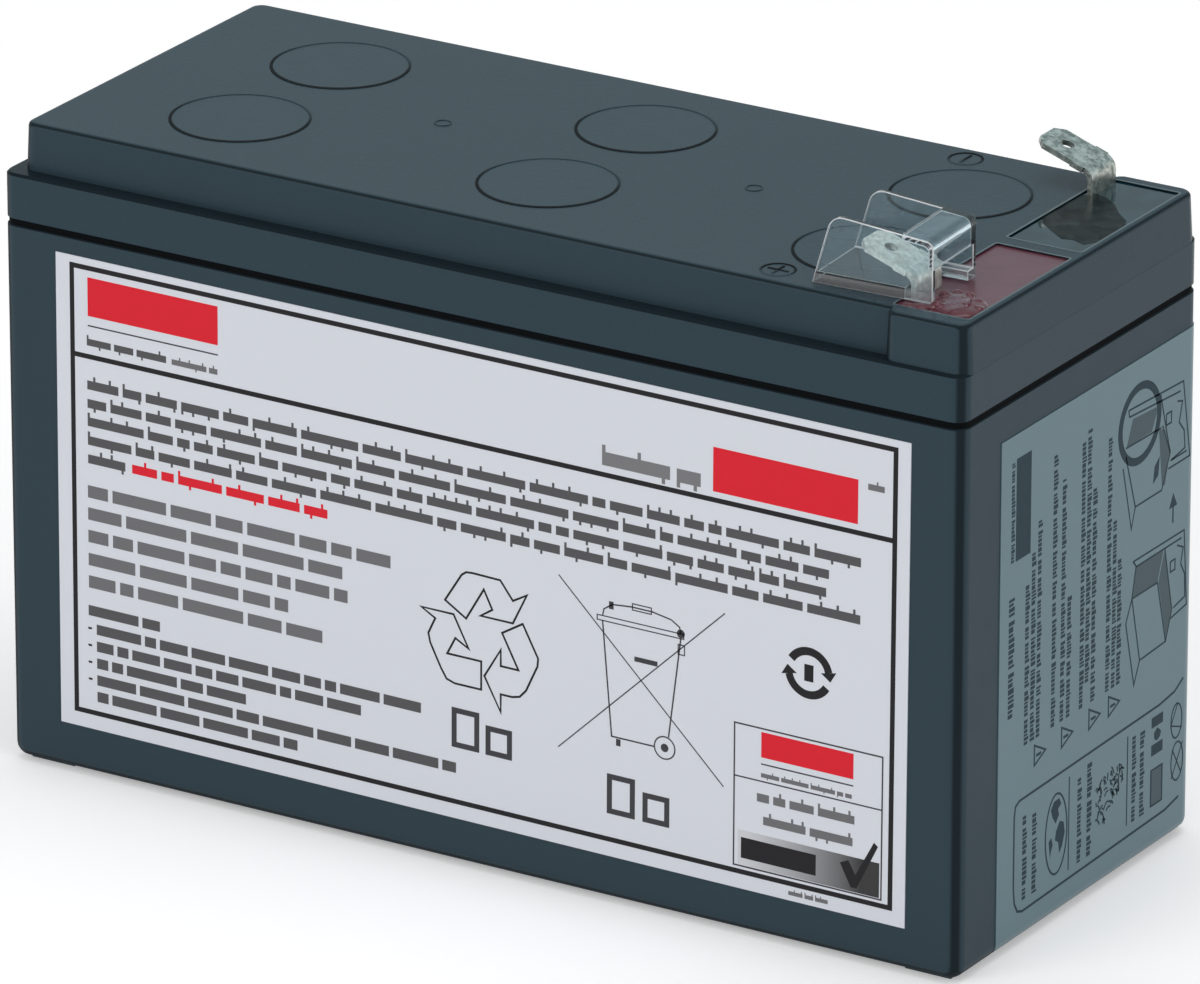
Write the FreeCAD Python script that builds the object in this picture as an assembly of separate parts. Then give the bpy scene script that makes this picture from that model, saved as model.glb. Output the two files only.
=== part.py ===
"""Sealed lead-acid battery cartridge, 12 V and 7 Ah, with end terminals and a clear guard on one tab.

X runs along the length, with the terminals at the +X end. Y runs through the depth, with the label on
the -Y face and the positive tab on the -Y side. Z is up. The origin is the centre of the footprint.
"""

import FreeCAD
import Part

import math
import os

V = FreeCAD.Vector

# Case
case_length = 151.0
case_width = 64.0
case_height = 93.0
cover_height = 13.75
deck_rise = 6.7
container_wall = 2.4
inside_corner = 0.5
floor_thickness = 2.4
corner_radius = 2.2
rear_corner_radius = 3.0
base_fillet = 2.1
pad_height = 0.4
pad_size = 7.0

# Joint between the container and the cover
joint_gap = 0.35
joint_chamfer = 0.4
joint_chamfer_run = 0.6
tongue_thickness = 1.4
tongue_height = 3.0
groove_clearance = 0.2
groove_headroom = 1.0

# Cover
ledge_width = 2.3
rear_ledge_width = 2.9
blank_end_ledge = 1.8
housing_ledge = 0.55
deck_lean = 0.32
rear_housing_lean = 0.95
deck_fillet = 0.7
ledge_chamfer = 0.35
deck_thickness = 2.4
cover_wall = 2.2
housing_length = 12.9

# Cells, in three columns and two rows
columns = 3
partition = 1.4
partition_entry = 2.9
socket_wall = 1.4
socket_clearance = 0.15
socket_drop = 0.9
floor_rib_height = 1.2
floor_rib_width = 2.0

# Vents
vent_offset = 12.6
disc_radius = 9.4
disc_gap = 0.2
disc_thickness = 1.2
vent_sides = 12
vent_wall = 1.4
pocket_radius = 5.6
pocket_depth = 7.4
spigot_radius = 2.8
spigot_bore = 1.1
spigot_height = 4.8
cap_wall = 1.2
cap_skirt = 4.0
cap_clearance = 0.05

# Terminal wells
well_length = 11.8
well_end_rim = 1.2
well_side_rim = 3.5
well_rib = 2.2
well_depth = 7.0
well_wall = 1.8
well_corner = 0.6
positive_fill_gap = 0.25
negative_fill_gap = 0.2
splash_radius = 2.6
splash_top_radius = 1.6
splash_height = 0.5
splash_from_end = 5.4
splash_from_tab = 1.2

# Terminal tabs
tab_width = 6.35
tab_thickness = 0.8
tab_from_end = 11.5
positive_tab_inset = 10.2
negative_tab_inset = 7.4
tab_bend_height = 3.2
tab_blade_length = 9.4
tab_rise_angle = 19.3
tab_bend_radius = 1.3
tab_tip_chamfer = 1.3
tab_hole_radius = 0.95
tab_hole_from_tip = 3.4
tab_ear = 0.3
tab_ear_length = 2.0
tab_ear_from_bend = 1.4
tab_foot_rise = 2.0
tab_foot_margin = 3.2

# Posts
post_radius = 2.0
post_from_end = 7.1
post_rise = 0.8
post_hole_clearance = 0.1

# Plates of one cell
positive_plates = 4
positive_thickness = 2.6
negative_thickness = 1.8
plate_side_gap = 1.9
plate_top_gap = 9.7
pack_clearance = 0.15
mat_overlap = 1.5
lug_width = 6.0
lug_thickness = 1.2
lug_root = 1.0
lug_inset = 4.5
strap_width = 9.0
strap_thickness = 3.5
strap_drop = 3.2
strap_overhang = 0.2
link_width = 8.0
link_thickness = 2.5
link_overlap = 3.0
link_clearance = 0.3

# Terminal guard
guard_length = 17.8
guard_width = 12.4
guard_height = 9.9
guard_wall = 0.8
guard_floor = 1.4
guard_from_end = 8.2
guard_tab_gap = 0.1
guard_turn = 2.9
guard_top_fall = 1.4
guard_mouth_lean = 2.8
guard_mouth_radius = 2.4
guard_bend_radius = 1.0
guard_roof_length = 4.7
guard_drop = 3.9
guard_slot_length = 4.4
guard_slot_rim = 1.5

# Label and film
label_side_margin = 8.15
label_base = 7.1
label_top_margin = 2.8
label_shift = 0.25
label_thickness = 0.15
label_corner = 0.6
label_turn = 0.29
film_thickness = 0.12
film_top_margin = 5.2
film_base = 1.5
film_start = 10.2
film_back_reach = 34.0

# Levels and lines worked out from the sizes above
half_length = case_length / 2
half_width = case_width / 2
shoulder_z = case_height - cover_height - joint_gap / 2
cover_base_z = shoulder_z + joint_gap
ledge_z = case_height - deck_rise
tongue_top_z = shoulder_z + tongue_height
groove_top_z = tongue_top_z + groove_headroom
floor_z = pad_height + floor_thickness
rib_top_z = floor_z + floor_rib_height
partition_top_z = shoulder_z + partition_entry
socket_base_z = cover_base_z + socket_drop
deck_under_z = case_height - deck_thickness
tongue_inset = container_wall - tongue_thickness
groove_outer = tongue_inset - groove_clearance
groove_inner = container_wall + groove_clearance
cavity_inset = ledge_width + cover_wall
disc_seat_z = case_height - disc_thickness
pocket_floor_z = case_height - pocket_depth
well_floor_z = case_height - well_depth
well_end_x = half_length - well_end_rim
well_start_x = well_end_x - well_length
well_outer_y = half_width - well_side_rim
cell_pitch = (case_length - 2 * container_wall + partition) / columns
cell_half = (cell_pitch - partition) / 2
lug_offset = cell_half - plate_side_gap - lug_inset
cell_near_y = partition / 2
cell_far_y = half_width - container_wall
plate_top_z = shoulder_z - plate_top_gap
strap_base_z = plate_top_z + strap_drop
strap_top_z = strap_base_z + strap_thickness
link_top_z = strap_top_z + link_thickness
tab_x = half_length - tab_from_end
post_x = half_length - post_from_end
tab_foot_z = well_floor_z + tab_foot_rise
label_length = case_length - 2 * label_side_margin
label_height = shoulder_z - label_top_margin - label_base
film_top_z = shoulder_z - film_top_margin
separator_thickness = (
    cell_far_y - cell_near_y - 2 * pack_clearance
    - positive_plates * positive_thickness - (positive_plates + 1) * negative_thickness
) / (2 * positive_plates)

# The cells in the order that the current passes through them: column, row, side of the positive strap
cells = [(1, -1, 1), (0, -1, 1), (-1, -1, 1), (-1, 1, -1), (0, 1, -1), (1, 1, -1)]

# The Y of each terminal: the positive one is at the front, on the label's side
terminal_y = {"positive": -(half_width - positive_tab_inset), "negative": half_width - negative_tab_inset}


def box(x0, x1, y0, y1, z0, z1):
    return Part.makeBox(x1 - x0, y1 - y0, z1 - z0, V(x0, y0, z0))


def rod(radius, x, y, z0, z1):
    return Part.makeCylinder(radius, z1 - z0, V(x, y, z0))


def prism(radius, x, y, z0, z1):
    """Upright prism of vent_sides flat sides, each at a radius from the centre line."""
    step = 2 * math.pi / vent_sides
    corner = radius / math.cos(step / 2)
    turns = [i * step for i in range(vent_sides)]
    outline = [V(x + corner * math.cos(a), y + corner * math.sin(a), z0) for a in turns]
    return Part.Face(Part.makePolygon(outline + outline[:1])).extrude(V(0, 0, z1 - z0))


def fuse(solids):
    return solids[0].multiFuse(solids[1:]).removeSplitter()


def cut(body, tools):
    for tool in tools:
        body = body.cut(tool)
    return body


def rounded_outline(x0, x1, y0, y1, z, radius, far_radius):
    """A closed rectangle with round corners at height z. The corner at x1, y1 has a radius of its own."""
    arcs = []
    for cx, cy, start, r in (
        (x1 - far_radius, y1 - far_radius, 0, far_radius),
        (x0 + radius, y1 - radius, 90, radius),
        (x0 + radius, y0 + radius, 180, radius),
        (x1 - radius, y0 + radius, 270, radius),
    ):
        turns = [math.radians(start + step) for step in (0, 45, 90)]
        arcs.append([V(cx + r * math.cos(a), cy + r * math.sin(a), z) for a in turns])
    edges = []
    for arc, following in zip(arcs, arcs[1:] + arcs[:1]):
        edges.append(Part.Arc(*arc).toShape())
        edges.append(Part.LineSegment(arc[2], following[0]).toShape())
    return Part.Wire(edges)


def slab(x0, x1, y0, y1, z0, z1, corner):
    """Block whose four upright edges are cut off at 45 degrees."""
    outline = [
        V(x0 + corner, y0, z0), V(x1 - corner, y0, z0), V(x1, y0 + corner, z0), V(x1, y1 - corner, z0),
        V(x1 - corner, y1, z0), V(x0 + corner, y1, z0), V(x0, y1 - corner, z0), V(x0, y0 + corner, z0),
    ]
    return Part.Face(Part.makePolygon(outline + outline[:1])).extrude(V(0, 0, z1 - z0))


def footprint(inset, z):
    """The outline of the case at height z, drawn in by an inset."""
    x = half_length - inset
    y = half_width - inset
    return rounded_outline(-x, x, -y, y, z, corner_radius - inset, rear_corner_radius - inset)


def footprint_slab(inset, z0, z1):
    return Part.Face(footprint(inset, z0)).extrude(V(0, 0, z1 - z0))


def inside_slab(inset, z0, z1):
    """Block inside the case, smaller than the footprint by an inset all round."""
    x = half_length - inset
    y = half_width - inset
    return slab(-x, x, -y, y, z0, z1, inside_corner)


def edges_at(shape, z):
    """The edges that lie flat at height z."""
    return [e for e in shape.Edges if all(abs(v.Z - z) < 1e-6 for v in e.Vertexes)]


def edges_across(shape, point):
    """The edges that run along Y through a point of the XZ plane."""
    found = []
    for e in shape.Edges:
        ends = [v.Point for v in e.Vertexes]
        if len(ends) == 2 and abs(ends[0].y - ends[1].y) > 1e-6:
            if all(abs(p.x - point.x) < 1e-6 and abs(p.z - point.z) < 1e-6 for p in ends):
                found.append(e)
    return found


def terminal_side(name):
    return 1 if terminal_y[name] > 0 else -1


def container_skin(grow):
    """The outer form of the container, larger by grow, with its base edge rounded."""
    z0 = pad_height - grow
    body = footprint_slab(-grow, z0, shoulder_z)
    return body.makeFillet(base_fillet + grow, edges_at(body, z0))


def container():
    """Case with two rows of three cells, a chamfered shoulder, a tongue round its rim and corner pads."""
    chamfer_z = shoulder_z - joint_chamfer
    everywhere = (-case_length, case_length, -case_width, case_width)
    solids = [container_skin(0.0).common(box(*everywhere, -1, chamfer_z))]
    solids.append(Part.makeLoft([
        footprint(0.0, chamfer_z),
        footprint(joint_chamfer_run, shoulder_z),
    ], True, True))
    solids.append(inside_slab(tongue_inset, chamfer_z, tongue_top_z))
    for sx in (-1, 1):
        for sy in (-1, 1):
            x = sorted((sx * (half_length - base_fillet), sx * (half_length - base_fillet - pad_size)))
            y = sorted((sy * (half_width - base_fillet), sy * (half_width - base_fillet - pad_size)))
            solids.append(box(*x, *y, 0, floor_z - floor_thickness / 2))
    inner = inside_slab(container_wall, floor_z, case_height)
    walls = [box(-half_length, half_length, -partition / 2, partition / 2, floor_z, partition_top_z)]
    for side in (-1, 1):
        x = side * cell_pitch / 2
        walls.append(box(x - partition / 2, x + partition / 2, -half_width, half_width,
                         floor_z, partition_top_z))
    for column, row, _ in cells:
        for side in (-1, 1):
            x = column * cell_pitch + side * cell_pitch / 4
            y = sorted((row * partition / 2, row * half_width))
            walls.append(box(x - floor_rib_width / 2, x + floor_rib_width / 2, *y, floor_z, rib_top_z))
    return cut(fuse(solids), [inner.cut(fuse(walls))] + link_notches())


def link_places():
    """Centre and direction of each intercell link, from one cell's strap to the next cell's."""
    row_y = (cell_near_y + cell_far_y) / 2
    places = []
    for first, second in zip(cells, cells[1:]):
        if first[1] == second[1]:
            places.append(((first[0] + second[0]) / 2 * cell_pitch, first[1] * row_y, "x"))
        else:
            places.append((first[0] * cell_pitch - first[2] * lug_offset, 0.0, "y"))
    return places


def link_reach(along):
    """How far a link reaches to each side of the partition that it crosses."""
    if along == "x":
        return cell_pitch / 2 - lug_offset + link_overlap
    near_positive_plate = pack_clearance + negative_thickness + separator_thickness + positive_thickness / 2
    return cell_near_y + near_positive_plate + link_overlap


def link_notches():
    """Slots in the tops of the partitions, one for each link."""
    half = link_width / 2 + link_clearance
    z0 = strap_top_z - link_clearance
    notches = []
    for x, y, along in link_places():
        reach = (partition, half) if along == "x" else (half, partition)
        notches.append(box(x - reach[0], x + reach[0], y - reach[1], y + reach[1], z0, case_height))
    return notches


def intercell_link(x, y, along):
    """Flat lead bar that lies on two straps and crosses one partition."""
    reach = (link_reach(along), link_width / 2)
    if along == "y":
        reach = reach[::-1]
    return box(x - reach[0], x + reach[0], y - reach[1], y + reach[1], strap_top_z, link_top_z)


def leaning_block(x0, x1, y0, y1, rear_lean, far_radius):
    """Block from the ledge to the deck whose walls lean in towards the top, with a rounded top edge."""
    lean = deck_lean
    block = Part.makeLoft([
        rounded_outline(x0, x1, y0, y1, ledge_z - 2 * ledge_chamfer, corner_radius, far_radius),
        rounded_outline(x0 + lean, x1 - lean, y0 + lean, y1 - rear_lean, case_height, corner_radius - lean,
                        far_radius - rear_lean),
    ], True, True)
    return block.makeFillet(deck_fillet, edges_at(block, case_height))


def cover_outer():
    """Skirt, deck, and the terminal housing, which stands proud of the deck's long walls."""
    chamfer_z = cover_base_z + joint_chamfer
    skirt = footprint_slab(0.0, chamfer_z, ledge_z)
    skirt = skirt.makeChamfer(ledge_chamfer, edges_at(skirt, ledge_z))
    foot = Part.makeLoft([
        footprint(joint_chamfer_run, cover_base_z),
        footprint(0.0, chamfer_z),
    ], True, True)
    deck = leaning_block(-half_length + blank_end_ledge, half_length, ledge_width - half_width,
                         half_width - rear_ledge_width, deck_lean, corner_radius)
    y = half_width - housing_ledge
    housing = leaning_block(half_length - housing_length, half_length, -y, y,
                            rear_housing_lean, rear_corner_radius)
    return fuse([skirt, foot, deck, housing])


def vent_places():
    return [(column * cell_pitch, row * vent_offset) for column, row, _ in cells]


def cover_hollow():
    """The space under the deck, less the vent pockets, the well tubs and the partition sockets."""
    x = half_length - cavity_inset
    y = half_width - cavity_inset
    kept = []
    for vx, vy in vent_places():
        kept.append(prism(pocket_radius + vent_wall, vx, vy, pocket_floor_z - vent_wall, case_height))
    kept.append(box(well_start_x - well_wall, half_length, -half_width, half_width,
                    well_floor_z - well_wall, case_height))
    half = partition / 2 + socket_clearance + socket_wall
    kept.append(box(-half_length, half_length, -half, half, socket_base_z, case_height))
    for side in (-1, 1):
        sx = side * cell_pitch / 2
        kept.append(box(sx - half, sx + half, -half_width, half_width, socket_base_z, case_height))
    return box(-x, x, -y, y, cover_base_z, deck_under_z).cut(fuse(kept))


def well(name, top_z):
    """Space of one terminal well from its floor up to a height."""
    y = sorted((terminal_side(name) * well_rib / 2, terminal_side(name) * well_outer_y))
    return slab(well_start_x, well_end_x, *y, well_floor_z, top_z, well_corner)


def joint_groove():
    outer = inside_slab(groove_outer, cover_base_z, groove_top_z)
    return outer.cut(inside_slab(groove_inner, cover_base_z - 1, groove_top_z + 1))


def cover_cuts():
    """Everything that is open in the cover: hollow, joint groove, sockets, wells and vents."""
    cuts = [cover_hollow(), joint_groove()]
    slot = partition / 2 + socket_clearance
    slot_top = partition_top_z + socket_clearance
    x_end = half_length - groove_inner
    y_end = half_width - groove_inner
    cuts.append(box(-x_end, x_end, -slot, slot, cover_base_z, slot_top))
    for side in (-1, 1):
        x = side * cell_pitch / 2
        cuts.append(box(x - slot, x + slot, -y_end, y_end, cover_base_z, slot_top))
    for name, y in terminal_y.items():
        cuts.append(well(name, case_height + 1))
        cuts.append(rod(post_radius + post_hole_clearance, post_x, y, cover_base_z, well_floor_z))
    for x, y in vent_places():
        cuts.append(rod(disc_radius + disc_gap, x, y, disc_seat_z, case_height + 1))
        pocket = prism(pocket_radius, x, y, pocket_floor_z, disc_seat_z)
        cuts.append(pocket.cut(prism(spigot_radius, x, y, cover_base_z, pocket_floor_z + spigot_height)))
        cuts.append(prism(spigot_bore, x, y, cover_base_z, case_height))
    return cuts


def cover():
    return cut(cover_outer(), cover_cuts())


def vent_disc(x, y):
    return rod(disc_radius, x, y, disc_seat_z, case_height)


def valve_cap(x, y):
    """Rubber cup pushed over the spigot. It lifts when gas has to leave the cell."""
    inner = spigot_radius + cap_clearance
    rim_z = pocket_floor_z + spigot_height
    cup = prism(inner + cap_wall, x, y, rim_z - cap_skirt, rim_z + cap_wall)
    return cup.cut(prism(inner, x, y, rim_z - cap_skirt, rim_z))


def blade_frame():
    """Outer bend point of a tab, the way along its blade, and the way up out of the blade."""
    a = math.radians(tab_rise_angle)
    bend = V(tab_x + tab_thickness / 2, 0, case_height + tab_bend_height)
    return bend, V(-math.cos(a), 0, math.sin(a)), V(math.sin(a), 0, math.cos(a))


def tab_strip():
    """The bent strip: a foot in the resin, a leg up through it, and a blade that rises to its tip."""
    bend, along, up = blade_frame()
    tip = bend + along * tab_blade_length
    under_tip = tip - up * tab_thickness
    leg_x = tab_x - tab_thickness / 2
    inner_bend = under_tip + along * ((leg_x - under_tip.x) / along.x)
    foot_x = post_x + tab_foot_margin
    heel = V(leg_x, 0, tab_foot_z)
    instep = V(bend.x, 0, tab_foot_z + tab_thickness)
    outline = [heel, V(foot_x, 0, heel.z), V(foot_x, 0, instep.z), instep, bend, tip, under_tip, inner_bend]
    strip = Part.Face(Part.makePolygon(outline + outline[:1])).extrude(V(0, tab_width, 0))
    tips = [e for e in strip.Edges if abs(e.Length - tab_thickness) < 1e-6
            and all(v.Z > inner_bend.z + tab_thickness for v in e.Vertexes)]
    strip = strip.makeChamfer(tab_tip_chamfer, tips)
    for corner, extra in ((heel, 1), (instep, 0), (bend, 1), (inner_bend, 0)):
        radius = tab_bend_radius + extra * tab_thickness
        strip = strip.makeFillet(radius, edges_across(strip, corner))
    strip.translate(V(0, -tab_width / 2, 0))
    return strip


def terminal_tab(name):
    """Tin-plated tab with a hole in its blade, two small ears at its root and a foot over the post."""
    bend, along, up = blade_frame()
    ears = box(0, tab_ear_length, -tab_width / 2 - tab_ear, tab_width / 2 + tab_ear, 0, tab_thickness)
    ears.rotate(V(0, 0, 0), V(0, 1, 0), 180 + tab_rise_angle)
    ears.translate(bend + along * tab_ear_from_bend)
    centre = bend + along * (tab_blade_length - tab_hole_from_tip) - up * 2 * tab_thickness
    hole = Part.makeCylinder(tab_hole_radius, 3 * tab_thickness, centre, up)
    post_hole = rod(post_radius, post_x, 0, tab_foot_z - 1, tab_foot_z + tab_thickness + 1)
    tab = fuse([tab_strip(), ears]).cut(hole).cut(post_hole)
    tab.translate(V(0, terminal_y[name], 0))
    return tab


def terminal_post(name):
    """Lead post from the strap up through the well floor and the tab's foot, to which it is soldered."""
    return rod(post_radius, post_x, terminal_y[name], strap_top_z, tab_foot_z + tab_thickness + post_rise)


def seal_resin(name, gap, splashed):
    """Resin poured into a well round the post and the tab, with one raised splash where it met the tab."""
    top_z = case_height - gap
    fill = well(name, top_z)
    if splashed:
        place = V(half_length - splash_from_end, terminal_y[name] - splash_from_tab, top_z)
        fill = fuse([fill, Part.makeCone(splash_radius, splash_top_radius, splash_height, place)])
    return fill.cut(terminal_post(name)).cut(terminal_tab(name))


def plate_lines(row):
    """The Y of each positive and negative plate of a cell, counted outwards from the middle wall."""
    positive = []
    negative = []
    y = cell_near_y + pack_clearance
    for i in range(positive_plates + 1):
        negative.append(row * (y + negative_thickness / 2))
        y += negative_thickness + separator_thickness
        if i < positive_plates:
            positive.append(row * (y + positive_thickness / 2))
            y += positive_thickness + separator_thickness
    return positive, negative


def plate_group(cell, lines, thickness, strap_side):
    """Pasted plates that stand in the XZ plane, with the strap that is cast over their lugs."""
    x = cell[0] * cell_pitch
    half = cell_half - plate_side_gap
    lug_x = x + strap_side * lug_offset
    solids = []
    for y in lines:
        solids.append(box(x - half, x + half, y - thickness / 2, y + thickness / 2, rib_top_z, plate_top_z))
        solids.append(box(lug_x - lug_width / 2, lug_x + lug_width / 2, y - lug_thickness / 2,
                          y + lug_thickness / 2, plate_top_z - lug_root, strap_base_z + lug_root))
    reach = lug_thickness / 2 + strap_overhang
    solids.append(box(lug_x - strap_width / 2, lug_x + strap_width / 2,
                      min(lines) - reach, max(lines) + reach, strap_base_z, strap_top_z))
    return fuse(solids)


def positive_plate_group(cell):
    return plate_group(cell, plate_lines(cell[1])[0], positive_thickness, cell[2])


def negative_plate_group(cell):
    return plate_group(cell, plate_lines(cell[1])[1], negative_thickness, -cell[2])


def separator_mat(cell):
    """Glass mat in a zigzag. It runs between all the plates and folds round their edges by turns."""
    x = cell[0] * cell_pitch
    plate_edge = cell_half - plate_side_gap
    mat_edge = plate_edge + separator_thickness
    mat_top_z = plate_top_z + mat_overlap
    positive, negative = plate_lines(cell[1])
    plates = [(y, positive_thickness / 2) for y in positive]
    plates += [(y, negative_thickness / 2) for y in negative]
    plates.sort()
    y0 = plates[0][0] + plates[0][1]
    y1 = plates[-1][0] - plates[-1][1]
    mat = box(x - mat_edge, x + mat_edge, y0, y1, rib_top_z, mat_top_z)
    for i, (y, half) in enumerate(plates[1:-1]):
        open_side = (-1) ** i
        slot_x = sorted((x - open_side * plate_edge, x + open_side * case_length))
        mat = mat.cut(box(*slot_x, y - half, y + half, rib_top_z - 1, mat_top_z + 1))
    return mat


def guard_block(x1, z0):
    """Block of the guard's width. Its mouth leans back, and its top falls towards the bend of the tab."""
    x0 = x1 - guard_length
    mouth_top = V(x0 + guard_mouth_lean, 0, z0 + guard_height)
    bend_top = V(x1, 0, z0 + guard_height - guard_top_fall)
    outline = [V(x0, 0, z0), mouth_top, bend_top, V(x1, 0, z0)]
    block = Part.Face(Part.makePolygon(outline + outline[:1])).extrude(V(0, guard_width, 0))
    block = block.makeFillet(guard_mouth_radius, edges_across(block, mouth_top))
    return block.makeFillet(guard_bend_radius, edges_across(block, bend_top))


def terminal_guard():
    """Clear moulding round the positive tab: two walls, a slotted floor, a roof over the bend and a drop."""
    x1 = half_length - guard_from_end
    z0 = case_height
    above = z0 + guard_height + 1
    between = (guard_wall, guard_width - guard_wall)
    beside = (guard_wall, guard_width - guard_wall - guard_slot_rim)
    floor_top = z0 + guard_floor
    roof_x = x1 - guard_roof_length
    drop_z = z0 + guard_height - guard_top_fall - guard_drop
    fall = math.atan2(guard_top_fall, guard_length - guard_mouth_lean)
    inside = guard_block(x1 - guard_wall, z0 - guard_wall / math.cos(fall))
    guard = cut(guard_block(x1, z0), [
        box(x1 - guard_length - 1, roof_x, *between, floor_top, above),
        inside.common(box(roof_x - 1, x1, *between, floor_top, above)),
        box(x1 - guard_wall - 1, x1 + 1, *between, floor_top, drop_z),
        box(x1 - guard_slot_length, x1 + 1, *beside, z0 - 1, floor_top + 1),
    ])
    near_edge = terminal_y["positive"] - tab_width / 2 - tab_ear
    guard.rotate(V(x1, 0, 0), V(0, 0, 1), guard_turn)
    slew = (x1 - tab_x) * math.tan(math.radians(guard_turn))
    guard.translate(V(0, near_edge - guard_tab_gap - guard_wall + slew, 0))
    return guard


def front_label():
    x0 = label_shift - label_length / 2
    outline = rounded_outline(x0, x0 + label_length, label_base, label_base + label_height, 0,
                              label_corner, label_corner)
    sheet = Part.Face(outline).extrude(V(0, 0, label_thickness))
    sheet.rotate(V(0, 0, 0), V(1, 0, 0), 90)
    sheet.translate(V(0, -half_width, 0))
    sheet.rotate(V(label_shift, 0, label_base + label_height / 2), V(0, 1, 0), label_turn)
    return sheet


def end_film():
    """Thin film on the end wall that wraps round the rear corner and down over the base edge."""
    skin = container_skin(film_thickness).cut(container_skin(0.0))
    end = box(half_length - corner_radius, case_length, film_start - half_width, case_width,
              film_base, film_top_z)
    back = box(half_length - film_back_reach, case_length, half_width - corner_radius, case_width,
               film_base, film_top_z)
    return skin.common(end.fuse(back))


case = container()
nodes = {
    "container": case,
    "cover": cover(),
    "joint_resin": joint_groove().cut(case),
    "terminal_guard": terminal_guard(),
    "front_label": front_label(),
    "end_film": end_film(),
    "positive_seal_resin": seal_resin("positive", positive_fill_gap, True),
    "negative_seal_resin": seal_resin("negative", negative_fill_gap, False),
}
for name in terminal_y:
    nodes[name + "_terminal"] = terminal_tab(name)
    nodes[name + "_post"] = terminal_post(name)
for number, (cell, place) in enumerate(zip(cells, vent_places()), 1):
    nodes["vent_disc_%d" % number] = vent_disc(*place)
    nodes["valve_cap_%d" % number] = valve_cap(*place)
    nodes["positive_plate_group_%d" % number] = positive_plate_group(cell)
    nodes["negative_plate_group_%d" % number] = negative_plate_group(cell)
    nodes["separator_mat_%d" % number] = separator_mat(cell)
for number, place in enumerate(link_places(), 1):
    nodes["intercell_link_%d" % number] = intercell_link(*place)

os.makedirs("parts", exist_ok=True)
for name, shape in nodes.items():
    if not shape.isValid() or not shape.Solids:
        print("not a valid solid:", name)
    shape.exportStep("parts/%s.step" % name)
    print("%-26s %2d solid %9.1f mm3" % (name, len(shape.Solids), shape.Volume))
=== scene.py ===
"""UPS battery cartridge: the finish of a sealed lead-acid block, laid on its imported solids."""

import math
import random

import bmesh
import bpy
from mathutils import Matrix, Vector


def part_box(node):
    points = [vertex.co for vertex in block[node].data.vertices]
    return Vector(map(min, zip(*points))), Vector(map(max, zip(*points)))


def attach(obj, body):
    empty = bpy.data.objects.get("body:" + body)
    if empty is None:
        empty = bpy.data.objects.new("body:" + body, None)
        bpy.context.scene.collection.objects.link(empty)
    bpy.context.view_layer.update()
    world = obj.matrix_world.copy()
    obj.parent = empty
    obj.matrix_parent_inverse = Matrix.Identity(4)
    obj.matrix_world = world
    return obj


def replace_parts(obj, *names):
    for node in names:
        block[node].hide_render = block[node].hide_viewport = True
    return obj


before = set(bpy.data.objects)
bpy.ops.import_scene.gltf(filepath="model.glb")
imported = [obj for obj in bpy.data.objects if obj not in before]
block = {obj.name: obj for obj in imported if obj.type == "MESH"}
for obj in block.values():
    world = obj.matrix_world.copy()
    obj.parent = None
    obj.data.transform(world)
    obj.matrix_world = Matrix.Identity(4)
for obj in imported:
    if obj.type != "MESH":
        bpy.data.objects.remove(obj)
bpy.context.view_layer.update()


# Container: the lower case that holds the six cells. It is one moulding of dark blue-grey ABS with a
# fine satin grain, duller on its round edges, which also carry painted shade that makes them darker.
# Its rim takes the cover's tongue in a groove of resin.
mm = 0.001
container_colour = (0.0355, 0.058, 0.074, 1)
grain_depth = 0.02 * mm
edge_dulling = 0.3


def feed(tree, socket, value):
    """Joins the socket to another one, or sets it to a plain value."""
    if isinstance(value, bpy.types.NodeSocket):
        tree.links.new(value, socket)
    else:
        socket.default_value = value


def put(tree, kind, settings=None, **values):
    """A node of that kind, with its inputs set to numbers or joined to sockets."""
    made = tree.nodes.new(kind)
    for name, value in (settings or {}).items():
        setattr(made, name, value)
    for name, value in values.items():
        feed(tree, made.inputs[name.replace("_", " ")], value)
    return made


def maths(tree, operation, *terms):
    """The result of one step of arithmetic on numbers or sockets."""
    made = put(tree, "ShaderNodeMath", {"operation": operation})
    for socket, term in zip(made.inputs, terms):
        feed(tree, socket, term)
    return made.outputs[0]


def noise(tree, place, scale, detail, **more):
    """Clouds of that scale, on the piece's own coordinates."""
    return put(tree, "ShaderNodeTexNoise", Vector=place, Scale=scale, Detail=detail, **more).outputs["Fac"]


def new_material(name, **values):
    """A material of one Principled shader, with its node tree and that shader."""
    material = bpy.data.materials.new(name)
    material.use_nodes = True
    tree = material.node_tree
    tree.nodes.clear()
    shader = put(tree, "ShaderNodeBsdfPrincipled", **values)
    tree.links.new(shader.outputs["BSDF"], put(tree, "ShaderNodeOutputMaterial").inputs["Surface"])
    return material, tree, shader


def plain_material(name, **values):
    """A material of one even shader."""
    return new_material(name, **values)[0]


def finish_node(name, material):
    """Gives a CAD node its finish."""
    for holder in block[name].material_slots:
        holder.material = material


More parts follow.
